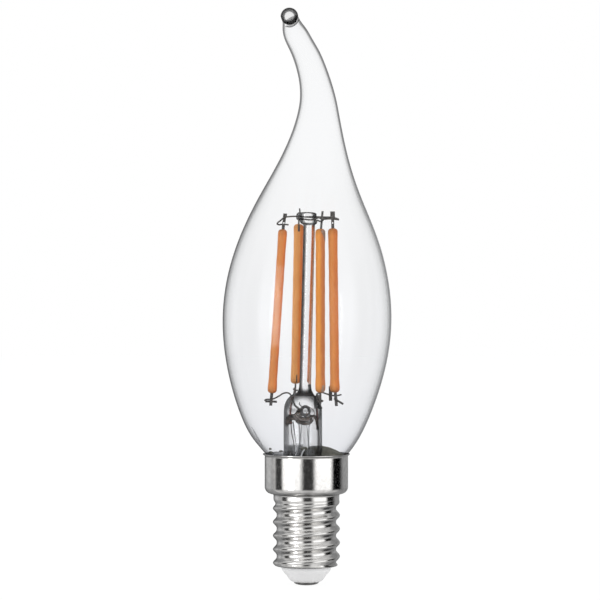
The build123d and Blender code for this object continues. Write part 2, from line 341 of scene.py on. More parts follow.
def thinGlass(name, limb, mirror, shade=None, fade=None, wavy=0.03, standing=False):
    # a wall that is seen straight through and darkens where it is seen edge on
    finish, tree = newFinish(name)
    side = facing(tree, standing)
    edge = side
    if fade:  # keeps the dark line equally wide on the belly and on the thin tail
        girth = node(tree, "Attribute", attribute_name="girth").outputs["Fac"]
        edge = minus(tree, 1, times(tree, minus(tree, 1, side), girth))
    edge = jittered(tree, edge, glass["waveSize"], wavy)
    through = ramp(tree, edge, limb)
    if fade:  # soft inside the belly, crisp up the tail
        soft = tint(tree, through, ramp(tree, side, fade["belly"]))
        height = between(tree, places(tree)[2], *fade["span"])
        through = mixColour(tree, height, soft, ramp(tree, edge, fade["tail"]))
    if shade:
        through = shade(tree, through)
    clear = node(tree, "BsdfTransparent")
    feed(tree, clear.inputs["Color"], through)
    gloss = node(tree, "BsdfGlossy")
    gloss.inputs["Roughness"].default_value = glass["gloss"]
    gloss.inputs["Color"].default_value = glass["glossTone"]
    grazing = times(tree, maths(tree, "POWER", side, glass["grazing"]), mirror["edge"])
    share = plus(tree, grazing, mirror["front"])
    if "upTo" in mirror:
        low, high = mirror["upTo"]
        share = times(tree, share, between(tree, places(tree)[2], high, low))
    show(tree, mixShaders(tree, share, clear.outputs[0], gloss.outputs[0]))
    return finish


def solidGlass(name, edges, shade=None, standing=False):
    # glass that bends what is behind it, with the dark edges it has against a bright field
    finish, tree = newFinish(name)
    through = ramp(tree, jittered(tree, facing(tree, standing), *glass["lumps"]), edges)
    if shade:
        through = shade(tree, through)
    solid = node(tree, "BsdfGlass")
    solid.inputs["IOR"].default_value = glass["ior"]
    solid.inputs["Roughness"].default_value = 0.0
    feed(tree, solid.inputs["Color"], through)
    clear = node(tree, "BsdfTransparent")
    feed(tree, clear.inputs["Color"], through)
    lamps = node(tree, "LightPath").outputs["Is Shadow Ray"]
    show(tree, mixShaders(tree, lamps, solid.outputs[0], clear.outputs[0]))
    return finish


# blown glass envelope

envelope = {
    "outline": [(8.75, 27.3), (10.74, 29.9), (12.92, 34), (13.87, 36.4), (17.4, 54.8), (14.4, 71.1),
                (7.74, 86.2), (4.04, 98.4), (3.36, 103.3), (3.07, 108.3), (2.98, 111.2), (2.74, 113.6),
                (2.42, 114.85), (2.18, 115.45), (1.98, 115.95), (1.86, 116.5), (1.83, 117)],
    "neck": [(7.6, 24.2), (7.66, 25.1), (7.75, 25.9), (8.1, 26.6)],
    "wall": 0.6, "wallTop": 115.3, "rows": 170, "sides": 128,
    "meniscus": [(1.5, 115.9), (1, 115.5), (0.5, 115.27), (0, 115.2)],
    "meniscusTilt": 0.5, "tiltSpan": (113, 115.2),  # the end of the cavity leans with the tail
    "bendStart": 70, "sway": 2.4, "swayHeight": 98.4, "tipReach": 3.5, "tipSlope": 0.47,
    "drift": [(0, 24), (0.04, 28.2), (-0.1, 30), (-0.2, 34.5), (0, 45.5), (0.15, 57),
              (0.3, 67), (0.38, 71.5), (0.27, 75.5), (0.05, 80), (-0.04, 85), (0.04, 95),
              (0.08, 102), (0.04, 110), (0, 119)],  # hand-blown, so not quite straight
    "tailBow": (-0.3, 112.8, 2.4),  # a slight bow of the tail to the left, its height and its length
    "beadHeight": 117.25, "beadRadius": 1.83, "blobRadius": 1.74,
    "beadAxis": (-0.47, 0.88), "beadFrom": 1.5,  # lean of the tail, start of the bead under its middle
    "leastGirth": 0.5,
    "limb": [(0, 0.98), (0.6, 0.986), (0.68, 0.977), (0.715, 0.94), (0.75, 0.85), (0.8, 0.66),
             (0.86, 0.52), (1, 0.45)],
    "fade": {"span": (79, 94),
             "belly": [(0, 1), (0.35, 0.995), (0.445, 0.978), (0.507, 0.96), (0.556, 0.938),
                       (0.607, 0.906), (0.67, 0.865), (0.8, 0.82), (1, 0.8)],
             "tail": [(0, 0.99), (0.62, 0.985), (0.74, 0.95), (0.775, 0.85), (0.81, 0.55), (0.86, 0.48),
                      (1, 0.45)]},
    "innerLimb": [(0, 0.998), (0.82, 0.992), (0.9, 0.94), (1, 0.88)],
    "innerFade": {"span": (79, 94), "belly": [(0, 1), (1, 0.98)],
                  "tail": [(0, 0.998), (0.82, 0.99), (0.9, 0.95), (1, 0.9)]},
    "tipLimb": [(0, 0.985), (0.34, 0.965), (0.44, 0.55), (1, 0.45)],
    "blobRing": [(0, 0.94), (0.15, 0.92), (0.21, 0.5), (0.32, 0.4), (1, 0.42)],
    # painted shade on the underside of the tip bead
    "crescentShade": [(0, 0.42), (0.33, 0.36), (0.39, 1)], "crescentShadeRipple": (1, 0.5),
    "greySpan": (26, 76),
    "grey": [(0, (0.925, 0.932, 0.95)), (0.3, (0.965, 0.969, 0.978)), (1, (0.993, 0.996, 1))],
    "mirror": {"front": 0.018, "edge": 0.25, "upTo": (72, 94)},
    "innerMirror": {"front": 0.009, "edge": 0.05, "upTo": (72, 94)},
    "streaks": [[(-11.3, -1.5, 32.6), (-10.5, -1.3, 31.4), (-9.75, -1.2, 30.1), (-9, -1, 28.7)],
                [(-10.9, -0.6, 31.9), (-10.35, -0.5, 30.7), (-9.6, -0.4, 29.5)]],  # thin dark strands inside the left of the neck
    "streakThick": 0.08, "streakLimb": [(0, 0.82), (0.4, 0.65), (1, 0.55)],
    "streakMirror": {"front": 0, "edge": 0.02},
}
driftLine = np.array(smoothLine(envelope["drift"], 240))


def envelopeCentre(z):
    e = envelope
    rise = clamp((z - e["bendStart"]) / (e["swayHeight"] - e["bendStart"]))
    span = e["beadHeight"] - e["swayHeight"]
    climb = clamp((z - e["swayHeight"]) / span)
    reach = e["sway"] + e["tipReach"]
    fullness = e["tipSlope"] * span / reach
    bow, bowAt, bowLength = e["tailBow"]
    lean = e["sway"] * ease(rise) - reach * climb ** 2 * (3 - fullness - (2 - fullness) * climb)
    lean += bow * math.exp(-((z - bowAt) / bowLength) ** 2)
    return lean + float(np.interp(z, driftLine[:, 1], driftLine[:, 0]))


def makeEnvelope():
    e = envelope
    sides = e["sides"]
    beadAt = (envelopeCentre(e["beadHeight"]), 0, e["beadHeight"])
    body = smoothLine(e["outline"], e["rows"])
    outside = e["neck"] + body
    bead = arc((0, e["beadHeight"]), e["beadRadius"], 0, 86, 12) + [(0, e["beadHeight"] + e["beadRadius"])]
    inside = [(r - e["wall"], z) for r, z in outside if z < e["wallTop"]]
    cavityTop = smoothLine(e["meniscus"], 10)[:-1] + e["meniscus"][-1:]

    def place(x, y, z):
        return (x + envelopeCentre(z), y, z)

    def placeInside(x, y, z):
        low, high = e["tiltSpan"]
        return (x + envelopeCentre(z), y, z + e["meniscusTilt"] * clamp((z - low) / (high - low)) * x)

    verts, faces = lathe(outside + bead, sides, place)
    innerVerts, innerFaces = lathe(inside + cavityTop, sides, placeInside)
    outerCount, skin = len(verts), len(faces)
    verts += innerVerts
    faces += [[v + outerCount for v in reversed(face)] for face in innerFaces]
    lining = len(faces)
    cavityEnd = lining - (len(cavityTop) - 1) * sides
    for side in range(sides):  # the ring that closes the foot of the wall
        after = (side + 1) % sides
        faces.append([side, side + outerCount, after + outerCount, after])

    def pick(index, centre, normal):
        # 0 outside, 1 inside, 2 the tip
        if index < skin:
            along = (centre.x - beadAt[0]) * e["beadAxis"][0] + (centre.z - beadAt[2]) * e["beadAxis"][1]
            return 2 if along > -e["beadFrom"] else 0
        if index < lining:
            return 2 if index >= cavityEnd else 1
        return 0

    def depth(tree, through):
        # a little greyer low down
        height = between(tree, places(tree)[2], *e["greySpan"])
        return tint(tree, through, ramp(tree, height, e["grey"]))

    def crescentShade(tree, through):
        # painted shade: the underside of the melted bead is darkened, standing in for the light the solid
        # bead bends away
        x, y, z = places(tree)
        lean = times(tree, minus(tree, x, beadAt[0]), e["beadAxis"][0])
        rise = times(tree, minus(tree, z, beadAt[2]), e["beadAxis"][1])
        along = jittered(tree, plus(tree, lean, rise), *e["crescentShadeRipple"])
        dark = ramp(tree, between(tree, along, -e["blobRadius"], e["blobRadius"]), e["crescentShade"])
        return tint(tree, through, dark)

    finishes = [
        thinGlass("envelopeGlass", e["limb"], e["mirror"], depth, e["fade"]),
        thinGlass("envelopeInside", e["innerLimb"], e["innerMirror"], None, e["innerFade"]),
        thinGlass("tipGlass", e["tipLimb"], e["innerMirror"]),
    ]
    mesh = addPiece("glassEnvelope", (verts, faces), finishes, ["glass_envelope"], pick)
    widest = max(r for r, z in body)
    reaches = [max(e["leastGirth"], math.hypot(x - envelopeCentre(z), y)) for x, y, z in verts]
    markPoints(mesh, "girth", [math.sqrt(reach / widest) for reach in reaches])
    blob = thinGlass("tipBlobGlass", e["blobRing"], e["innerMirror"], crescentShade)
    addPiece("tipBlob", ball(beadAt, [e["blobRadius"]] * 3), [blob])
    streak = thinGlass("neckStreakGlass", e["streakLimb"], e["streakMirror"])
    addWire("neckStreaks", e["streaks"], e["streakThick"], streak)


makeEnvelope()
print("envelope blown")


# glass stem with its press, exhaust tube and column

stem = {
    "sides": 96, "offset": -0.72,
    "flareRim": 7.6, "flareBlend": 1.6,  # the wide rim of the flare stays centred
    "outside": [(6.6, 24.3), (6.5, 24.8), (5.6, 25.5), (4.7, 26), (4.15, 26.6), (3.99, 27.4), (3.97, 28.6),
                (3.97, 33), (3.94, 35.6)],
    "dome": [(3.94, 35.6), (3.84, 36.8), (3.35, 38.1), (2.42, 39.1), (1.3, 39.6), (0, 39.75)],
    "inside": [(5.9, 24.3), (4.9, 24.9), (3.9, 25.5), (3.35, 26.2), (3.1, 27.2), (3.05, 28.6), (3.05, 33.2)],
    "roof": [(3.05, 33.2), (2.9, 33.9), (2.3, 34.3), (1.6, 34.2), (1.1, 33.8)], "roofRise": 0.4,
    "pressFlat": 4.4 / 7.7, "pressStart": 33.6, "pressFull": 36.6,
    "boreReach": 3.1, "boreTop": 34.5, "closedFrom": 36, "pressFrom": 33.9,
    "waveFrom": 33.2, "waveCount": 5, "waveHeight": 0.3, "wavePhase": 1.1,
    "tube": [(0, 0.955), (0.31, 0.93), (0.38, 0.58), (0.52, 0.42), (1, 0.32)],
    "bore": [(0, 0.962), (0.5, 0.93), (0.75, 0.8), (1, 0.55)],
    "shoulder": [(0, 0.95), (0.26, 0.9), (0.36, 0.42), (0.5, 0.22), (1, 0.18)],
    "shoulderSpan": (36.7, 35.3),
    "press": [(0, 0.985), (0.05, 0.97), (0.12, 0.55), (0.2, 0.34), (0.6, 0.28), (1, 0.28)],
    "pressWavy": 0.06,
    # painted shade at the foot of the tube: its grey across the width, where it starts, and its ripple
    "foot": [(0.12, 0.8), (0.2, 0.62), (0.42, 0.62), (0.46, 0.93), (0.85, (0.96, 0.96, 0.94))],
    "footShadeAcross": (-6, 6), "footShadeSpan": (29, 28.5), "footShadeRipple": (2, 0.5),
    "mirror": {"front": 0.03, "edge": 0.25},
    "folds": [[(-4.25, -1.4, 33.2), (-4.1, -1.6, 34), (-3.65, -1.9, 34.7), (-3.1, -2.1, 35),
               (-2.4, -2.3, 35.1), (-1.9, -2.4, 35.6), (-1.5, -2.4, 36.2)],
              [(-3.6, -1.6, 33.3), (-3, -2, 34.3), (-2.2, -2.2, 34.5)],
              [(-2.4, -2.3, 34.7), (-1.65, -2.4, 34.2), (-0.65, -2.45, 33.95), (0.25, -2.45, 34.1),
               (0.9, -2.4, 34.6), (1.15, -2.3, 34.9)],
              [(-2.2, -2.3, 33.9), (-1.2, -2.4, 33.5), (-0.2, -2.4, 33.35), (0.8, -2.4, 33.6),
               (1.3, -2.3, 34.2)],
              [(1.1, -2.2, 34.8), (1.6, -2, 34.9), (2, -1.6, 34.2), (2.25, -1, 33.2),
               (2.33, -0.3, 32.1)],
              [(-1.8, -2.5, 36.3), (-1.5, -2.55, 35.8), (-1.35, -2.55, 35.2), (-1, -2.5, 34.8)],
              [(-2.1, -2.6, 35), (-1.5, -2.8, 34.75), (-0.8, -2.9, 34.5), (-0.1, -2.9, 34.45),
               (0.5, -2.8, 34.65), (0.95, -2.6, 35.1)],
              [(-4, -2, 32.9), (-3.8, -2.2, 33.8), (-3.4, -2.4, 34.5), (-2.9, -2.5, 35.1)]],
    "foldThick": 0.29,
    "foldEdges": [(0, (0.8, 0.75, 0.71)), (0.1, (0.6, 0.53, 0.48)), (0.25, (0.25, 0.2, 0.18)),
                  (1, (0.08, 0.06, 0.055))],
    "swirl": [(0.4, 0.35), (0.5, 0.75), (0.6, 1)], "swirlGrain": (0.55, 2, (0.6, 1, 1.4)),
    "glints": [[(-2.3, -2.75, 35.3), (-1.95, -2.95, 34.75), (-1.4, -3.1, 34.3), (-0.6, -3.15, 34.08),
                (0.2, -3.1, 34.12), (0.8, -2.9, 34.5)],
               [(-2.75, -2.5, 35.15), (-2.35, -2.6, 34.65), (-1.9, -2.7, 34.15)]],
    "glintThick": 0.12, "glintTone": ((0.17, 0.145, 0.135), (0.32, 0.28, 0.26)),
}


def makeStem():
    s = stem

    def place(x, y, z):
        radius = math.hypot(x, y)
        centred = s["offset"] * clamp((s["flareRim"] - radius) / s["flareBlend"])
        if radius < s["boreReach"] and z < s["boreTop"]:
            turn = s["waveCount"] * math.atan2(y, x) + s["wavePhase"]
            return (x + centred, y, z + (s["waveHeight"] * math.sin(turn) if z > s["waveFrom"] else 0))
        share = clamp((z - s["pressStart"]) / (s["pressFull"] - s["pressStart"]))
        return (x + centred, y * (1 - (1 - s["pressFlat"]) * ease(share)), z)

    def shoulder(tree, through):
        # the press turns into the tube
        low = between(tree, places(tree)[2], *s["shoulderSpan"])
        return mixColour(tree, low, through, ramp(tree, facing(tree, True), s["shoulder"]))

    def foot(tree, through):
        # painted shade: the foot of the tube is greyed, standing in for the shaded inside of the cap that
        # shows through it
        x, y, z = places(tree)
        share = between(tree, jittered(tree, z, *s["footShadeRipple"]), *s["footShadeSpan"])
        return tint(tree, through, ramp(tree, between(tree, x, *s["footShadeAcross"]), s["foot"]), share)

    def swirl(tree, through):
        # light and dark runs in the folded glass
        return tint(tree, through, ramp(tree, grain(tree, *s["swirlGrain"]), s["swirl"]))

    def pick(index, centre, normal):
        # 0 tube, 1 bore, 2 press
        outward = normal.dot(Vector((centre.x - s["offset"], centre.y, 0))) > 0
        if not outward and centre.z <= s["closedFrom"]:
            return 1
        return 2 if centre.z > s["pressFrom"] else 0

    outside = smoothLine(s["outside"], 56)
    dome = smoothLine(s["dome"], 30)[1:]
    inside = smoothLine(s["inside"], 48)
    roof = smoothLine(s["roof"], 14)[1:]
    roofTop = (0, s["roof"][-1][1] + s["roofRise"])
    profile = outside + dome[:-1] + [(0, dome[-1][1]), roofTop] + roof[::-1] + inside[::-1]
    finishes = [
        thinGlass("stemTube", s["tube"], s["mirror"], foot, standing=True),
        thinGlass("stemBore", s["bore"], s["mirror"], foot, standing=True),
        thinGlass("stemPress", s["press"], s["mirror"], shoulder, wavy=s["pressWavy"], standing=True),
    ]
    shape = lathe(profile, s["sides"], place, closed=True)
    addPiece("stemGlass", shape, finishes, ["stem_flare"], pick, sharp=60)
    folds = solidGlass("foldGlass", s["foldEdges"], swirl)
    addWire("pressFolds", s["folds"], s["foldThick"], folds)
    glints = paint("foldGlint", speckled(*s["glintTone"], 0.6), rough=0.15)
    addWire("pressGlints", s["glints"], s["glintThick"], glints)


column = {
    "lean": 1.45, "foot": (-0.4, 0, 39.7), "sides": 48,
    "rodShift": 0.12, "buttonShift": -0.36, "buttonBlend": 1.5,
    "rod": [(2.1, -0.7), (1.7, -0.15), (1.38, 0.45), (1.24, 1.2), (1.2, 2.2), (1.2, 34.4)],
    "button": [(1.2, 34.4), (1.22, 34.6), (1.6, 34.8), (1.75, 35.3), (1.8, 36.1), (1.82, 36.6),
               (1.74, 36.95), (1.4, 37.1), (0, 37.14)],
    "edges": [(0, 0.98), (0.08, 0.95), (0.14, 0.5), (0.26, 0.22), (1, 0.12)],
    # painted reflection of the filaments: its brown edge ramp, where across the rod it starts, its top and
    # its foot
    "reflectionEdges": [(0, 0.98), (0.1, 0.95), (0.18, (0.84, 0.67, 0.58)), (0.4, (0.72, 0.51, 0.42)),
                   (1, (0.62, 0.46, 0.38))],
    "reflectionAcross": (0, 0.5), "reflectionTop": (74.3, 73.6), "reflectionFoot": (41.2, 41.6),
}
mount = Matrix.Translation(column["foot"]) @ Matrix.Rotation(math.radians(column["lean"]), 4, "Y")


def makeColumn():
    c = column

    def place(x, y, z):
        slump = c["rodShift"] + c["buttonShift"] * clamp((z - c["button"][0][1]) / c["buttonBlend"])
        return tuple(mount @ Vector((x + slump, y, z)))

    def paintedFilamentReflection(tree, through):
        # painted reflection: one edge is tinted brown, standing in for the filaments beside it seen through
        # the rod
        x, y, z = places(tree)
        lean = math.tan(math.radians(c["lean"]))
        axis = plus(tree, times(tree, z, lean), c["foot"][0] + c["rodShift"] - c["foot"][2] * lean)
        right = between(tree, minus(tree, x, axis), *c["reflectionAcross"])
        span = times(tree, between(tree, z, *c["reflectionTop"]), between(tree, z, *c["reflectionFoot"]))
        reflected = ramp(tree, facing(tree, True), c["reflectionEdges"])
        return mixColour(tree, times(tree, right, span), through, reflected)

    profile = [(0, c["rod"][0][1])] + c["rod"][:-1] + smoothLine(c["button"], 26)
    clearRod = solidGlass("columnGlass", c["edges"], paintedFilamentReflection, standing=True)
    addPiece("stemColumn", lathe(profile, c["sides"], place), [clearRod], ["stem_column"])


exhaust = {
    "axis": -0.45, "sides": 40,
    "outside": [(0, 19.4), (0.5, 19.5), (0.95, 20.1), (1.1, 20.8), (1.1, 32.2), (1.2, 32.9), (1.5, 33.5),
                (1.8, 33.9)],
    "bore": [(1.1, 34), (0.7, 33.4), (0.65, 32.6), (0.65, 20.8), (0.4, 20.4), (0, 20.3)],
    "edges": [(0, 0.97), (0.3, 0.95), (0.45, 0.62), (0.7, 0.42), (1, 0.36)],
    "bubbleAt": (-0.12, -0.9, 35.1), "bubbleRadii": (1.95, 1.3, 1.8),
    "bubble": [(0, 0.975), (0.4, 0.93), (0.55, (0.6, 0.56, 0.53)), (0.75, (0.42, 0.38, 0.36)), (1, 0.3)],
    "lipAt": (-0.22, -2.15, 35.95), "lipRadii": (0.8, 0.9), "lipThick": 0.3, "lipAround": 14,
    "lip": [(0, 0.42), (0.3, 0.25), (1, 0.1)],
    "dropAt": (-0.05, -2.5, 35.55), "dropRadii": (0.48, 0.2, 0.36),
    "drop": [(0, 0.98), (1, 0.9)], "dropMirror": {"front": 0.55, "edge": 0.6},
}


def lipRing():
    # an oval ring that stands upright and faces the front
    e = exhaust
    sides, around = e["sides"], e["lipAround"]
    x, y, z = e["lipAt"]
    wide, tall = e["lipRadii"]
    ring, quads = [], []
    for n in range(sides):
        turn = 2 * math.pi * n / sides
        for k in range(around):
            fat = 2 * math.pi * k / around
            grow = e["lipThick"] * math.cos(fat)
            ring.append((x + (wide + grow) * math.cos(turn), y + e["lipThick"] * math.sin(fat),
                         z + (tall + grow) * math.sin(turn)))
            nextN, nextK = (n + 1) % sides * around, (k + 1) % around
            quads.append((n * around + k, nextN + k, nextN + nextK, n * around + nextK))
    return ring, quads


def makeExhaust():
    e = exhaust

    def place(x, y, z):
        return (x + e["axis"], y, z)

    bore = smoothLine(e["bore"], 40)
    profile = [e["outside"][0]] + smoothLine(e["outside"], 40)[1:] + bore[:-1] + [e["bore"][-1]]
    tube = thinGlass("exhaustGlass", e["edges"], stem["mirror"], standing=True)
    addPiece("exhaustTube", lathe(profile, e["sides"], place), [tube], ["exhaust_tube"])
    bubble = thinGlass("bubbleGlass", e["bubble"], stem["mirror"])
    addPiece("exhaustBubble", ball(e["bubbleAt"], e["bubbleRadii"]), [bubble])
    drop = thinGlass("dropGlass", e["drop"], e["dropMirror"])
    addPiece("exhaustDrop", ball(e["dropAt"], e["dropRadii"]), [drop])
    addPiece("exhaustHoleLip", lipRing(), [solidGlass("holeLipGlass", e["lip"])])


makeStem()
makeColumn()
makeExhaust()
print("stem drawn")


# filaments and their tabs

filaments = {
    "topAzimuths": (200, 111.5, -65, 27), "footAzimuths": (195, 106, -62.2, 24),
    "footHeights": (-0.1, 1.5, 0.2, 0.1), "topRing": 5.65, "footRing": 6.9, "length": 33.5,
    "radii": (0.88, 0.97, 0.96, 0.95), "bodies": [(-0.2, 33.6), (0, 33.4), (0.05, 33.5), (-0.1, 34)],
    "rows": 100, "sides": 32,
    "swell": (0.08, 1.2, 1.3),  # height of the swelling, its distance from the end and its length
    "blunt": (0.8, 2.6),  # length of the rounded end and how square it is
    "ripple": (0.015, 1.7, 2.1),
    # the pale and deep sides: partly the coat's own two tones, partly painted light falling from the left
    "paleAndLit": [(0.67, 0.23, 0.045), (0.8, 0.35, 0.09), (0.8, 0.3, 0.045), (0.78, 0.28, 0.055)],
    "deepAndShaded": [(0.76, 0.2, 0.025), (0.76, 0.2, 0.02), (0.56, 0.165, 0.03), (0.7, 0.19, 0.02)],
    "seam": (0.35, 0.4, 0.15, 0.15),  # where the pale, lit side turns into the deep, shaded one, across the width
    "seamHalf": 0.25, "seamRipple": (2.5, 0.5),
    "mottle": [(0.3, (0.88, 0.84, 0.8)), (0.7, 1)], "mottleGrain": (1.2, 4, (1, 1, 0.3)),
    "ends": [(0, 0.6), (0.4, 0.8), (1, 1)], "endLength": 1.6,
}


def ringPoint(radius, azimuth, height):
    a = math.radians(azimuth)
    return mount @ Vector((radius * math.cos(a), radius * math.sin(a), height))


def footFrame(n):
    f = filaments
    foot = ringPoint(f["footRing"], f["footAzimuths"][n], f["footHeights"][n])
    aim = ringPoint(f["topRing"], f["topAzimuths"][n], f["footHeights"][n] + f["length"])
    along = (aim - foot).normalized()
    outward = foot - ringPoint(0, 0, f["footHeights"][n])
    sideways = along.cross(outward).normalized()
    radial = sideways.cross(along).normalized()
    turn = Matrix((radial, along.cross(radial), along)).transposed().to_4x4()
    return Matrix.Translation(foot) @ turn


footFrames = [footFrame(n) for n in range(4)]
topFrames = [frameAt @ Matrix.Translation((0, 0, filaments["length"])) for frameAt in footFrames]


def phosphorFinish(n):
    f = filaments

    def colour(tree):
        # painted light in part: the left of each filament is paler, the right deeper
        side = node(tree, "Attribute", attribute_name="side").outputs["Fac"]
        seam, half = f["seam"][n], f["seamHalf"]
        edge = between(tree, jittered(tree, side, *f["seamRipple"]), seam - half, seam + half)
        litAndShadedHalves = mixColour(tree, edge, f["paleAndLit"][n], f["deepAndShaded"][n])
        mottled = tint(tree, litAndShadedHalves, ramp(tree, grain(tree, *f["mottleGrain"]), f["mottle"]))
        end = node(tree, "Attribute", attribute_name="end").outputs["Fac"]
        return tint(tree, mottled, ramp(tree, end, f["ends"]))

    return paint("phosphor%d" % (n + 1), colour, rough=0.5, bump=(1.5, 0.25, 0.12))


def filamentRadius(n, z):
    f = filaments
    low, high = f["bodies"][n]
    end = min(z - low, high - z)
    height, swellAt, swellLength = f["swell"]
    swell = 1 + height * math.exp(-((end - swellAt) / swellLength) ** 2)
    length, power = f["blunt"]
    tip = (1 - max(0, 1 - end / length) ** power) ** (1 / power)
    amount, pace, shift = f["ripple"]
    return f["radii"][n] * swell * tip * (1 + amount * math.sin(z * pace + n * shift))


def makeFilament(n):
    f = filaments
    low, high = f["bodies"][n]
    rows = f["rows"]
    heights = [low + (high - low) * (0.5 - 0.5 * math.cos(math.pi * k / rows)) for k in range(1, rows)]
    profile = [(0, low)] + [(filamentRadius(n, z), z) for z in heights] + [(0, high)]

    def place(x, y, z):
        return tuple(footFrames[n] @ Vector((x, y, z)))

    shape = lathe(profile, f["sides"], place)
    number = str(n + 1)
    mesh = addPiece("filament" + number, shape, [phosphorFinish(n)], ["filament_" + number])
    climbs = [(footFrames[n].inverted() @ Vector(v)).z for v in shape[0]]
    middles = [footFrames[n] @ Vector((0, 0, z)) for z in climbs]
    markPoints(mesh, "side", [(v[0] - m.x) / f["radii"][n] for v, m in zip(shape[0], middles)])
    markPoints(mesh, "end", [min(z - low, high - z) / f["endLength"] for z in climbs])


darkBare = ((0.04, 0.03, 0.025), (0.09, 0.07, 0.05))
bareStrips = {  # where the coat is missing: span up the filament, then angles round its front, low and high
    "bareStrip2": {"on": 1, "span": (31.8, 33.3), "low": (-9, 15), "high": (-9, 15), "tone": darkBare},
    "bareStrip3": {"on": 2, "span": (31.1, 33.35), "low": (58, 72), "high": (-4, 70),
                   "tone": ((0.2, 0.11, 0.07), (0.3, 0.18, 0.12))},
    "bareFoot2": {"on": 1, "span": (0.1, 1.9), "low": (7, 19), "high": (7, 19), "tone": darkBare},
    "bareFoot3": {"on": 2, "span": (0.15, 1.6), "low": (6, 52), "high": (26, 56),
                  "tone": ((0.25, 0.13, 0.07), (0.34, 0.2, 0.12))},
}
bareProud = (0.03, -0.05)  # its front and its back, from the coat outward


def makeBareStrip(name, strip):
    # a thin shell that hugs the front of the filament
    n = strip["on"]
    rows, columns = 10, 8
    bottom, top = strip["span"]
    shell = []
    for proud in bareProud:
        for k in range(rows + 1):
            t = k / rows
            z = bottom + (top - bottom) * t
            start, end = [low + (high - low) * t for low, high in zip(strip["low"], strip["high"])]
            middle = footFrames[n] @ Vector((0, 0, z))
            reach = filamentRadius(n, z) + proud
            for m in range(columns + 1):
                a = math.radians(start + (end - start) * m / columns)
                shell.append((middle.x + reach * math.sin(a), middle.y - reach * math.cos(a), middle.z))
    faces = shellFaces(gridQuads(rows, columns), len(shell) // 2)
    finish = paint(name, speckled(*strip["tone"], 0.5), rough=0.5, bump=(0.4, 0.2, 0.03))
    addPiece(name, (shell, faces), [finish])


tabs = {
    "width": 0.6, "thick": 0.2, "root": 1.5, "holeRadius": 0.18, "holeSteps": 16,
    "upper": (3.3, 1.9, 3.6, 3.95), "upperLean": (0.3, 0, 0.45, 0), "holes": (1.4, None, None, 1.6),
    "heads": ((0.76, 0.7), None, None, (0.95, 1.5)),  # width and height of the wider end
    "headThick": 0.28, "headOver": 0.03,
    "lower": (2.75, 2, 2.3, 2.9), "lowerLean": (-0.1, 0, 0, 0.3),
}
tabFinish = paint("tabStrip", speckled((0.045, 0.042, 0.04), (0.1, 0.092, 0.085), 0.4), metal=0.6,
                  rough=0.45, bump=(0.3, 0.2, 0.03))


def flatStrip(width, low, high):
    w = width / 2
    return [(-w, low), (w, low), (w, high), (-w, high)], [[0, 1, 2, 3]]


def holedStrip(width, length, holeAt):
    # a flat strip with a ring of quads round its hole
    w, hole, steps = width / 2, tabs["holeRadius"], tabs["holeSteps"]
    flat, quads = [], []
    for k in range(steps):
        a = 2 * math.pi * k / steps
        reach = w / max(abs(math.cos(a)), abs(math.sin(a)))
        flat.append((reach * math.cos(a), holeAt + reach * math.sin(a)))
        flat.append((hole * math.cos(a), holeAt + hole * math.sin(a)))
        m = (k + 1) % steps
        quads.append([2 * k, 2 * m, 2 * m + 1, 2 * k + 1])
    start = len(flat)
    flat += [(-w, length), (w, length), (w, 0), (-w, 0)]
    quads.append([2 * k for k in range(2, 7)] + [start, start + 1])  # above the hole
    quads.append([2 * k for k in range(10, 15)] + [start + 2, start + 3])  # below it
    return flat, quads


def makeTab(name, nodeName, frameAt, low, high, lean, holeAt=None, head=None):
    width, length = tabs["width"], high - low
    strip = holedStrip(width, length, holeAt - low) if holeAt else flatStrip(width, 0, length)
    layers = [(*strip, tabs["thick"] / 2)]
    if head:
        cheek = flatStrip(head[0], length - head[1], length + tabs["headOver"])
        layers.append((*cheek, tabs["headThick"] / 2))
    leanTo = high if high > -low else low  # the free end leans, the root doesn't
    verts, faces = [], []
    for flat, quads, half in layers:
        start = len(verts)
        for y in (-half, half):
            for x, z in flat:
                point = frameAt @ Vector((x, y, low + z))
                point.x += lean * max(0, (low + z) / leanTo)
                verts.append(tuple(point))
        faces += [[v + start for v in face] for face in shellFaces(quads, len(flat))]
    addPiece(name, (verts, faces), [tabFinish], [nodeName], sharp=20)


for n in range(4):
    makeFilament(n)
    number = str(n + 1)
    makeTab("upperTab" + number, "upper_tab_" + number, topFrames[n], -tabs["root"], tabs["upper"][n],
            tabs["upperLean"][n], tabs["holes"][n], tabs["heads"][n])
    makeTab("lowerTab" + number, "lower_tab_" + number, footFrames[n], -tabs["lower"][n], tabs["root"],
            tabs["lowerLean"][n])
for name, strip in bareStrips.items():
    makeBareStrip(name, strip)
print("filaments set")


# wires

wires = {"thick": 0.22, "thin": 0.16, "fine": 0.1}
wireFinish = paint("leadWire", speckled((0.05, 0.046, 0.043), (0.12, 0.11, 0.1), 0.6), metal=0.7,
                   bump=(0.25, 0.15, 0.02))
sealFinish = paint("sealCopper", speckled((0.11, 0.03, 0.022), (0.22, 0.07, 0.045), 0.7), metal=0.6,
                   bump=(0.3, 0.2, 0.02))
copperFinish = paint("copperWire", speckled((0.3, 0.13, 0.07), (0.46, 0.22, 0.13), 0.7), metal=0.9,
                     bump=(0.3, 0.15, 0.02))
tinnedFinish = paint("tinnedWire", speckled((0.06, 0.052, 0.046), (0.13, 0.11, 0.095), 0.7), metal=0.7,
                     bump=(0.3, 0.15, 0.02))
beside = 0.29  # from the middle of a tab to the middle of a wire that touches it


def addLead(name, routes, gauge, nodeName, finish=wireFinish):
    addWire(name, routes, wires[gauge], finish, [nodeName])


def pinned(frameAt, points):
    # points as outward, sideways and upward from the end of a filament
    return [tuple(frameAt @ Vector(p)) for p in points]


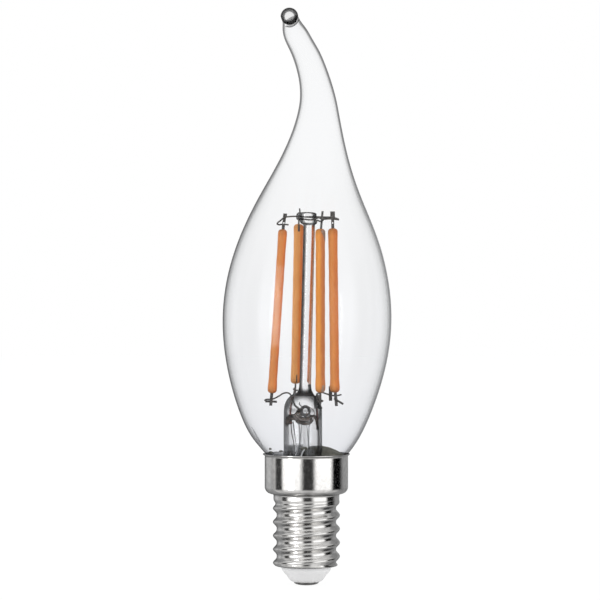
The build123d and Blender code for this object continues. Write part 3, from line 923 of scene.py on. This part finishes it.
bridges = {
    "outerLevel": 36.2, "innerLevel": 35.6,  # where the two cross in the button
    "from1": [(-1.2, -beside, 1.1), (0, -beside, 1.1), (1, -beside, 1), (1.25, 0, 1.2),
              (0.7, beside, 1.8), (0, beside, 2.45), (-1, 0.15, 2.75)],
    "to4": [(-1.6, beside, 2.75), (0, beside, 2.7), (1.2, beside, 2.45)],
    "back4": [(1.25, -beside, 2.3), (0, -beside, 2.45), (-1, -beside, 2.5), (-2.2, 0, 2.45),
              (-3, 0, 2.7)],
    "from2": [(0.6, -beside, 3.1), (0.2, -beside, 2.1), (-0.6, 0, 1.4), (-0.2, beside, 0.9),
              (0.4, beside, 1.2), (0, beside, 2)],
    "to3": [(-1, beside, 2.3), (0, beside, 2.2), (0.8, beside, 1.9), (0.9, 0, 1.6), (0.4, -beside, 1.5),
            (-0.8, -beside, 1.75), (-1.6, -0.1, 1.3)],
    "knot": [(-1.25, 3.4, 76.6), (-1.1, 2.8, 76), (-1, 2.4, 75.2)],
}


def makeBridges():
    b = bridges
    outer = tuple(ringPoint(0, 0, b["outerLevel"]))
    inner = tuple(ringPoint(0, 0, b["innerLevel"]))
    near = pinned(topFrames[0], b["from1"]) + [outer]
    far = [[outer] + pinned(topFrames[3], b["to4"]), pinned(topFrames[3], b["back4"])]
    across = pinned(topFrames[1], b["from2"]) + [inner] + pinned(topFrames[2], b["to3"])
    addLead("bridgeWireOuter", [near], "thin", "bridge_wire_outer")
    addLead("bridgeWireEnd", far, "thick", "bridge_wire_outer")
    addLead("bridgeWireInner", [across, b["knot"]], "thin", "bridge_wire_inner")


leads = {  # hook, tail and branchHook are measured from the foot of a filament
    "left": {
        "seal": [(-3.1, 0, 33.2), (-3.3, 0, 34.6), (-3.25, 0, 36.2), (-3, 0, 37.6)],
        "lead": [(-1.7, -0.5, 36.5), (-2.3, -0.3, 36.95), (-2.75, -0.1, 37.8), (-3.1, 0, 38.9),
                 (-3.6, 0, 39.5), (-4.6, -0.4, 39.55), (-5.7, -1.1, 38.95)],
        "leadTo": 0, "hook": [(0, beside, -1.4), (1.3, beside, -1.55), (1.45, 0, -1.75)],
        "tail": [(1.2, -beside, -1.95), (0, -beside, -1.9), (-1.2, -beside, -1.9)],
        "branch": [(-3, 0.4, 36.8), (-2.8, 0.5, 38.2), (-2.6, 1.5, 39.4)],
        "branchTo": 1, "branchHook": [(-0.4, beside, -0.9), (0.3, beside, -1.2), (0.6, 0, -1.3),
                                      (0.3, -beside, -1.4), (-0.6, -beside, -1.3)],
        "outer": [(-3.2, 0, 33.4), (-3, -0.1, 31.2), (-2.5, -0.3, 28.6), (-2.8, -0.6, 22),
                  (-3.1, -0.6, 18.8), (-3.1, -0.6, 16)]},
    "right": {
        "seal": [(2.36, 0, 32), (2.3, 0, 33.5), (2.2, 0, 35.2), (2.15, 0, 37)],
        "lead": [(2.1, 0, 36.6), (2, 0, 38), (2.2, 0, 39.3), (2.9, 0.4, 39.65), (4.2, 1.8, 39.3)],
        "leadTo": 3, "hook": [(-0.4, beside, -0.7), (0.6, beside, -0.75), (1.6, beside, -0.6)],
        "tail": [(-0.3, -beside, -1.3), (0.5, -beside, -1.8), (1.7, -beside, -2.5)],
        "branch": [(2.2, -0.4, 36.4), (2, -0.5, 37.8), (2.1, -1.4, 39.3), (2.3, -3, 39.2)],
        "branchTo": 2, "branchHook": [(-0.2, beside, -1.5), (0.5, beside, -1.6), (0.8, 0, -1.7),
                                      (0.4, -beside, -1.8), (-0.7, -beside, -1.7)],
        "outer": [(2.36, 0, 32.4), (2.5, 0.3, 31.2), (2.58, 0.3, 28.6), (2.6, -0.3, 22), (3.1, -0.6, 18.8),
                  (3.1, -0.6, 16)]},
}
pressHook = [(-3.1, -0.4, 38.9), (-2.75, -0.8, 37.9), (-2.3, -1.2, 37), (-1.7, -1.6, 36.5),
             (-1.35, -1.9, 36.1)]
pressEnds = [  # fine wire ends caught in the press
    [(-1.4, -1.4, 37.7), (-1.45, -1.4, 37.4), (-1.2, -1.5, 37.05), (-0.85, -1.7, 36.8)],
    [(-2.75, 0, 33.6), (-2.45, -0.2, 31.4), (-2.1, -0.4, 28.6)],
]
bundle = [  # short strands twisted together above the right side of the press
    [(1.9, -0.3, 36.4), (1.75, -0.4, 37.6), (2, -0.3, 38.6), (2.5, -0.2, 39.2)],
    [(2.5, -0.2, 36.5), (2.6, -0.1, 37.8), (2.3, 0, 39)],
    [(2.9, 0.1, 36.7), (2.35, 0.1, 37.3), (2, 0, 38), (1.7, 0, 38.9)],
    [(2.2, 0, 37.9), (2.8, -0.1, 37.8), (3.4, -0.2, 38)],
    [(2.3, 0, 36.7), (2.8, -0.1, 36.45), (3.25, -0.2, 36.5)],
    [(1.7, -0.2, 38.2), (2.1, -0.2, 38.9), (2.8, -0.1, 38.7)],
]
paddle = {"x": (4.66, 5.36), "y": (2.5, 2.7), "z": (37.85, 40.85)}  # flattened end of the right lead


def makeLeads():
    for side, r in leads.items():
        name = side.capitalize()
        leadFrame, branchFrame = footFrames[r["leadTo"]], footFrames[r["branchTo"]]
        lead = r["lead"] + pinned(leadFrame, r["hook"])
        tail = pinned(leadFrame, r["tail"])
        branch = r["branch"] + pinned(branchFrame, r["branchHook"])
        addLead("sealWire" + name, [r["seal"]], "thick", "seal_wire_" + side, sealFinish)
        addLead("innerLead" + name, [lead], "thin", "inner_lead_" + side)
        addLead("leadEnd" + name, [tail], "thick", "inner_lead_" + side)
        addLead("branchLead" + name, [branch], "thin", "branch_lead_" + side)
        addLead("outerLead" + name, [r["outer"]], "fine", "outer_lead_" + side, tinnedFinish)
    addLead("pressHook", [pressHook], "thick", "inner_lead_left")
    addLead("pressEnds", pressEnds, "fine", "inner_lead_left")
    addLead("leadBundle", bundle, "thick", "inner_lead_right")
    corners = [(x, y, z) for z in paddle["z"] for y in paddle["y"] for x in paddle["x"]]
    sheets = [(0, 2, 3, 1), (4, 5, 7, 6), (0, 1, 5, 4), (1, 3, 7, 5), (3, 2, 6, 7), (2, 0, 4, 6)]
    addPiece("leadPaddle", (corners, sheets), [wireFinish], ["inner_lead_right"])


makeBridges()
makeLeads()
print("wires bent")


# screw cap

plating = {
    "rolled": (19.2, 18.4),  # the grain of the skirt is rolled smooth on the thread
    "polish": [(0.3, 0.07), (0.7, 0.13)], "sparkle": [(0.52, 0), (0.66, 0.12)], "rolledGrit": 0.06,
    "dents": 0.25, "dentsLost": 0.17, "dentDepth": 0.03, "speckle": 0.8,
    # painted shade at the edges of the plating: its darker tone, roughness and share
    "edgeShadeTone": (0.23, 0.31), "edgeShadeRough": 0.3, "edgeShadeShare": [(0.36, 0), (0.46, 0.9), (1, 0.9)],
}


def nickel(name, tone):
    p = plating
    finish, tree = newFinish(name)
    shader = node(tree, "BsdfPrincipled")
    feed(tree, shader.inputs["Base Color"], speckled(*tone, p["speckle"])(tree))
    shader.inputs["Metallic"].default_value = 1.0
    rolled = between(tree, places(tree)[2], *p["rolled"])
    polish = ramp(tree, grain(tree, 1.2, 5), p["polish"])
    sparkle = ramp(tree, grain(tree, 0.25, 2), p["sparkle"])
    grit = mixColour(tree, rolled, sparkle, [p["rolledGrit"]] * 3)
    feed(tree, shader.inputs["Roughness"], plus(tree, polish, grit))
    dents = minus(tree, p["dents"], times(tree, rolled, p["dentsLost"]))
    feed(tree, shader.inputs["Normal"], bumpFrom(tree, grain(tree, 0.3), dents, p["dentDepth"]))
    edgeShade = node(tree, "BsdfGlossy")  # painted shade: where the plating is seen edge on it turns to a darker, duller gloss, standing in for the darker studio it mirrors there
    edgeShade.inputs["Roughness"].default_value = p["edgeShadeRough"]
    feed(tree, edgeShade.inputs["Color"], speckled(*p["edgeShadeTone"], p["speckle"])(tree))
    edge = ramp(tree, facing(tree, True), p["edgeShadeShare"])
    show(tree, mixShaders(tree, edge, shader.outputs[0], edgeShade.outputs[0]))
    return finish


cap = {
    "pitch": 2.822, "major": 6.925, "depth": 0.8, "turns": 4.35, "runout": 0.55, "phase": 108, "crest": 1.4,
    "firstLift": 0.7, "firstFade": (0.45, 0.6),  # full under the first crest, in turns
    "bottom": 3.95, "opening": 5.25, "openingEdge": 0.05, "sheet": 0.25, "footRound": 0.62,
    "neck": 6.79, "skirt": 8.6, "skirtBottom": 18.85, "skirtRound": 1.4, "neckFillet": 0.4,
    "rimHeight": 27.08, "rimDepth": 0.7, "rimFlare": 0.35,
    "rimBend": [(0, -0.5), (0, -0.1), (-0.05, 0.1), (0.05, 0.3)],  # outward and upward
    "lipRound": 0.12, "lipInset": 0.1, "lipInside": (0.02, -0.3),
    "bore": 5.9, "boreTop": 0.8, "insideRound": 1.2,
    "rowsPerTurn": 30, "sides": 180,
    "tone": ((0.66, 0.65, 0.635), (0.8, 0.79, 0.775)),
}


def threadRadius(angle, z):
    c = cap
    blank = c["major"] - c["depth"] / 2
    turn = (z - c["bottom"]) / c["pitch"]
    fade = ease(clamp((c["turns"] + c["runout"] - turn) / c["runout"]))
    wave = math.cos(angle - math.radians(c["phase"]) - 2 * math.pi * turn)
    wave = 2 * ((1 + wave) / 2) ** c["crest"] - 1  # narrow crests, wide grooves
    first = (angle - math.radians(c["phase"])) / (2 * math.pi) % 1  # where the lowest crest passes
    if turn < first:
        start, end = c["firstFade"]
        groove = clamp((first - start) / (end - start))
        wave = max(wave, c["firstLift"] * (1 - groove) + wave * groove)
    return c["neck"] + (blank - c["neck"]) * fade + c["depth"] / 2 * fade * wave


def makeCapShell():
    c = cap
    neckTop = c["skirtBottom"] - c["neckFillet"]
    wallFoot = c["bottom"] + c["footRound"]
    rows = int(c["rowsPerTurn"] * (neckTop - wallFoot) / c["pitch"])
    foot = arc((c["neck"] - c["footRound"], wallFoot), c["footRound"], -90, -8, 8)
    wall = [(c["neck"], wallFoot + (neckTop - wallFoot) * k / rows) for k in range(rows + 1)]
    fillet = arc((c["neck"] + c["neckFillet"], neckTop), c["neckFillet"], 165, 90, 5)
    cornerAt = (c["skirt"] - c["skirtRound"], c["skirtBottom"] + c["skirtRound"])
    corner = arc(cornerAt, c["skirtRound"], -90, 0, 12)
    rimStart = c["rimHeight"] - c["rimDepth"]
    rim = [(c["skirt"] + out, rimStart + up) for out, up in c["rimBend"]]
    lipAt = (c["skirt"] + c["rimFlare"] - c["lipInset"], c["rimHeight"] - c["lipRound"])
    lip = arc(lipAt, c["lipRound"], -70, 130, 10)
    out, up = c["lipInside"]
    wallInside = c["skirt"] - c["sheet"]
    shelf, floor = c["skirtBottom"] + c["sheet"], c["bottom"] + c["sheet"]
    inside = [(c["skirt"] + out, c["rimHeight"] + up), (wallInside, rimStart + 0.1),
              (wallInside, c["skirtBottom"] + c["insideRound"]), (c["skirt"] - c["insideRound"], shelf),
              (c["neck"] - c["sheet"], shelf), (c["bore"], neckTop - c["boreTop"]), (c["bore"], floor),
              (c["opening"], floor), (c["opening"], c["bottom"])]
    outside = [(c["opening"] + c["openingEdge"], c["bottom"])] + foot + wall + fillet + corner + rim + lip

    def place(x, y, z):
        radius = math.hypot(x, y)
        if c["bottom"] + 0.01 < z <= neckTop + 0.001 and radius > c["neck"] - c["footRound"]:
            share = min(1, (z - c["bottom"]) / c["footRound"])
            grown = radius + (threadRadius(math.atan2(y, x), z) - c["neck"]) * share
            return (x * grown / radius, y * grown / radius, z)
        return (x, y, z)

    shape = lathe(outside + inside, c["sides"], place, closed=True)
    addPiece("capShell", shape, [nickel("nickelPlate", c["tone"])], ["cap_shell"], sharp=50)


plug = {
    "cone": [(2, 0.95), (2.8, 0.7), (3.12, 0.85), (4.1, 2), (5, 3.15), (5.2, 3.65), (5.22, 4.2)],
    "body": [(5.82, 4.2), (5.82, 6.6), (1, 6.6)],
    "crown": [(0, 0), (1.3, 0.04), (2.2, 0.22), (2.55, 0.5), (2.52, 0.7), (2.2, 0.78)],
    "shank": [(1, 0.8), (1, 6.6), (0, 6.6)],
    # painted shade: the contact is given a dark tone for the shade it sits in under the bulb
    "shadedContactTone": ((0.1, 0.097, 0.094), (0.19, 0.185, 0.18)),
}
insulatorFinish = paint("insulatorWhite", speckled((0.9, 0.893, 0.877), (0.95, 0.942, 0.925), 3), rough=0.35,
                        bump=(0.7, 0.08, 0.03))


def makePlug():
    cone = plug["cone"][:2] + smoothLine(plug["cone"][1:-1], 20)[1:] + plug["cone"][-1:]
    shape = lathe(cone + plug["body"], 96, closed=True)
    addPiece("capInsulator", shape, [insulatorFinish], ["cap_insulator"], sharp=50)
    shape = lathe(plug["crown"][:1] + smoothLine(plug["crown"], 18)[1:] + plug["shank"], 64)
    # painted shade: a dark plate for the shaded contact
    contact = nickel("shadedContactPlate", plug["shadedContactTone"])
    addPiece("centreContact", shape, [contact], ["centre_contact"], sharp=50)


makeCapShell()
makePlug()
print("cap rolled")


# cement that has run up inside the neck

cement = {
    "inner": 3.95, "outer": 7.9, "turn": (-22, 95), "rows": 14, "columns": 36, "floor": 25.9,
    "crest": [(0, 28.6), (0.35, 28.35), (0.7, 27.75), (1, 26.8)],  # height from the stem out to the glass
    "ebb": 0.4, "ebbLeast": 0.1, "ripple": (0.08, 4, 3),
    "thread": [(-0.38, -4.35, 28.2), (-0.75, -4.4, 27.65), (-1, -4.4, 27.1), (-1.1, -4.35, 26.7)],
    "threadThick": 0.13, "threadTone": ((0.6, 0.6, 0.6), (0.8, 0.8, 0.8)),  # a thin pale curl
    "specks": [((-7.4, -3.6, 28.25), (0.3, 0.2, 0.22)), ((-7.35, -3.2, 27.5), (0.45, 0.25, 0.25)),
               ((-5.2, -6, 27.95), (0.4, 0.2, 0.2)), ((-0.45, -3.9, 28.3), (0.75, 0.35, 0.4))],
}
cementFinish = paint("cappingCement", speckled((0.085, 0.085, 0.065), (0.14, 0.135, 0.11), 0.8), rough=0.9,
                     bump=(0.4, 0.6, 0.1))


def makeCement():
    c = cement
    rows, columns = c["rows"], c["columns"]
    across, crest = zip(*c["crest"])
    start, end = c["turn"]
    amount, paceX, paceY = c["ripple"]
    top, base = [], []
    for k in range(rows + 1):
        t = k / rows
        shift = stem["offset"] * (1 - t)
        reach = c["inner"] + (c["outer"] - c["inner"]) * t
        full = np.interp(t, across, crest) - c["floor"]
        for m in range(columns + 1):
            a = math.radians(start + (end - start) * m / columns)
            ebb = math.cos(math.pi / 2 * (2 * m / columns - 1)) ** c["ebb"]
            height = c["floor"] + full * (c["ebbLeast"] + (1 - c["ebbLeast"]) * ebb)
            x, y = shift + reach * math.cos(a), reach * math.sin(a)
            top.append((x, y, height + amount * math.sin(x * paceX + y * paceY)))
            base.append((x, y, c["floor"]))
    quads = [[q[0], q[3], q[2], q[1]] for q in gridQuads(rows, columns)]  # seen from above
    addPiece("cementRun", (top + base, shellFaces(quads, len(top))), [cementFinish])
    threadFinish = paint("paleThread", speckled(*c["threadTone"], 0.5), rough=0.3)
    addWire("paleCurl", [c["thread"]], c["threadThick"], threadFinish)
    for n, (centre, radii) in enumerate(c["specks"]):
        addPiece("cementSpeck%d" % (n + 1), ball(centre, radii, 16), [cementFinish])


makeCement()
print("cement laid")


# pieces that stay as the frame gives them

packageBlack = paint("packageBlack", speckled((0.012, 0.012, 0.013), (0.03, 0.03, 0.03), 0.5), rough=0.55)
kept = {
    "capping_cement": cementFinish,
    "driver_board": paint("boardMask", speckled((0.02, 0.09, 0.035), (0.035, 0.14, 0.06), 1.2)),
    "bridge_rectifier": packageBlack,
    "driver_chip": packageBlack,
    "smoothing_capacitor": paint("sleeveDark", speckled((0.01, 0.012, 0.02), (0.025, 0.03, 0.045), 2),
                                 rough=0.25, coat=0.3),
    "fusible_resistor": paint("resistorLacquer", speckled((0.1, 0.26, 0.3), (0.14, 0.34, 0.4), 1.1),
                              rough=0.3, coat=0.4),
    "contact_lead": copperFinish,
    "shell_lead": copperFinish,
}
for nodeName, finish in kept.items():
    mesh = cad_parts[nodeName].data
    mesh.materials.clear()
    mesh.materials.append(finish)
print("inner pieces dressed")


# floor, world, lamps and camera

studio = {
    "floorHalf": 2, "floorTones": ((0.8428, 0.8428, 0.8526), (0.86, 0.86, 0.87)), "floorWhite": 0.93,
    "floorGlow": 1.03, "ambient": (0.72, 0.73, 0.75), "white": 1.6,
    "cards": [(-83, 13, 4, 0.03), (4.5, 18.5, 6, 0.025), (95.2, 20.5, 5.5, 0), (186, 15, 5, 0.03),
              (-103, 9, 4, 0.4), (-158, 16, 8, 0.5), (142, 24, 6, 0.6)],  # turn, half width, softness, tone
    "cardFlank": 0.7, "cardEnds": [(0.26, 1), (0.42, 0), (0.66, 0), (0.8, 1)],  # paler low and high
    "boxCentre": -44.5, "boxHalf": 6, "boxBlur": 3, "boxGlow": 5.2,
    "boxSpan": [(0.38, 0), (0.4, 1), (0.715, 1), (0.735, 0)],
    "levels": [(0, 0.24), (0.05, 0.3), (0.12, 0.46), (0.3, 0.58), (0.41, 0.7), (0.46, 1), (0.6, 1),
               (0.7, 0.55), (0.85, 0.5), (1, 0.75)],  # how bright the room is from below to above
    "lamps": [("keyLamp", (-0.55, -0.6, 0.45), 0.5, 2.2), ("fillLamp", (0.65, -0.45, 0.25), 0.5, 1.2),
              ("topLamp", (0, 0.1, 0.8), 0.5, 1.6)],
    "aim": (0, 0, 0.06),
}
photo = {"cameraAt": (-0.00132, -0.5, 0.05875), "lens": 145.4, "sensor": 36, "clipStart": 0.01}


def raysToWhite(tree):
    # 1 for what is seen straight or through glass
    ray = node(tree, "LightPath").outputs
    return maths(tree, "MAXIMUM", ray["Is Camera Ray"], ray["Is Transmission Ray"])


def makeFloor():
    h = studio["floorHalf"]
    mesh = bpy.data.meshes.new("studioFloor")
    mesh.from_pydata([(-h, -h, 0), (h, -h, 0), (h, h, 0), (-h, h, 0)], [], [(0, 1, 2, 3)])
    finish, tree = newFinish("floorPale")
    matte = node(tree, "BsdfDiffuse")
    low, high = studio["floorTones"]
    feed(tree, matte.inputs["Color"], ramp(tree, grain(tree, 160, 2), [(0.3, low), (0.7, high)]))
    glow = node(tree, "Emission")
    glow.inputs["Strength"].default_value = studio["floorGlow"]
    share = times(tree, raysToWhite(tree), studio["floorWhite"])  # the rest keeps the shadow
    show(tree, mixShaders(tree, share, matte.outputs[0], glow.outputs[0]))
    mesh.materials.append(finish)
    floor = bpy.data.objects.new("studioFloor", mesh)
    floor.visible_glossy = False  # the metal mirrors the studio, not the sheet it stands on
    bpy.context.scene.collection.objects.link(floor)


def makeWorld():
    # white behind, and dark cards with one soft box for what the metal mirrors
    s = studio
    world = bpy.data.worlds.new("studioWorld")
    bpy.context.scene.world = world
    world.use_nodes = True
    tree = world.node_tree
    tree.nodes.clear()
    split = node(tree, "SeparateXYZ")
    feed(tree, split.inputs[0], node(tree, "TexCoord").outputs["Generated"])
    x, y, z = split.outputs
    away = maths(tree, "ARCTAN2", x, times(tree, y, -1))
    height = plus(tree, times(tree, z, 0.5), 0.5)
    ends = ramp(tree, height, s["cardEnds"])
    mirrored = ramp(tree, height, s["levels"])
    for centre, half, blur, tone in s["cards"]:
        off = maths(tree, "PINGPONG", minus(tree, away, math.radians(centre)), math.pi)
        clear = between(tree, off, math.radians(half - blur), math.radians(half + blur))
        shade = plus(tree, tone, times(tree, ends, s["cardFlank"] * (1 - tone)))
        mirrored = tint(tree, mirrored, mixColour(tree, clear, shade, (1, 1, 1)))
    fromBox = maths(tree, "ABSOLUTE", minus(tree, away, math.radians(s["boxCentre"])))
    half, blur = s["boxHalf"], s["boxBlur"]
    box = between(tree, fromBox, math.radians(half + blur), math.radians(half - blur))
    soft = times(tree, box, ramp(tree, height, s["boxSpan"]))
    bright = plus(tree, s["white"], times(tree, soft, s["white"] * (s["boxGlow"] - 1)))
    seen = raysToWhite(tree)
    glossy = node(tree, "LightPath").outputs["Is Glossy Ray"]
    lit = mixColour(tree, glossy, s["ambient"], mirrored)
    sky = node(tree, "Background")
    feed(tree, sky.inputs["Color"], mixColour(tree, seen, lit, (1, 1, 1)))
    onlyMirrored = times(tree, glossy, minus(tree, 1, seen))
    extra = times(tree, onlyMirrored, minus(tree, bright, 1))
    feed(tree, sky.inputs["Strength"], plus(tree, 1, extra))
    feed(tree, node(tree, "OutputWorld").inputs["Surface"], sky.outputs[0])


def makeLamps():
    for name, place, size, power in studio["lamps"]:
        lamp = bpy.data.lights.new(name, "AREA")
        lamp.size = size
        lamp.energy = power
        holder = bpy.data.objects.new(name, lamp)
        holder.location = place
        holder.rotation_euler = (Vector(studio["aim"]) - Vector(place)).to_track_quat("-Z", "Y").to_euler()
        holder.visible_glossy = False
        holder.visible_transmission = False
        bpy.context.scene.collection.objects.link(holder)


def makeCamera():
    camera = bpy.data.cameras.new("photoCamera")
    camera.lens = photo["lens"]
    camera.sensor_width = photo["sensor"]
    camera.clip_start = photo["clipStart"]
    holder = bpy.data.objects.new("photoCamera", camera)
    holder.location = photo["cameraAt"]
    holder.rotation_euler = (math.radians(90), 0, 0)
    bpy.context.scene.collection.objects.link(holder)
    bpy.context.scene.camera = holder


makeFloor()
makeWorld()
makeLamps()
makeCamera()
bpy.context.scene.view_settings.view_transform = "Standard"
bpy.context.scene.cycles.transparent_max_bounces = 48
bpy.context.scene.cycles.transmission_bounces = 24
bpy.context.scene.cycles.max_bounces = 28
print("studio lit")
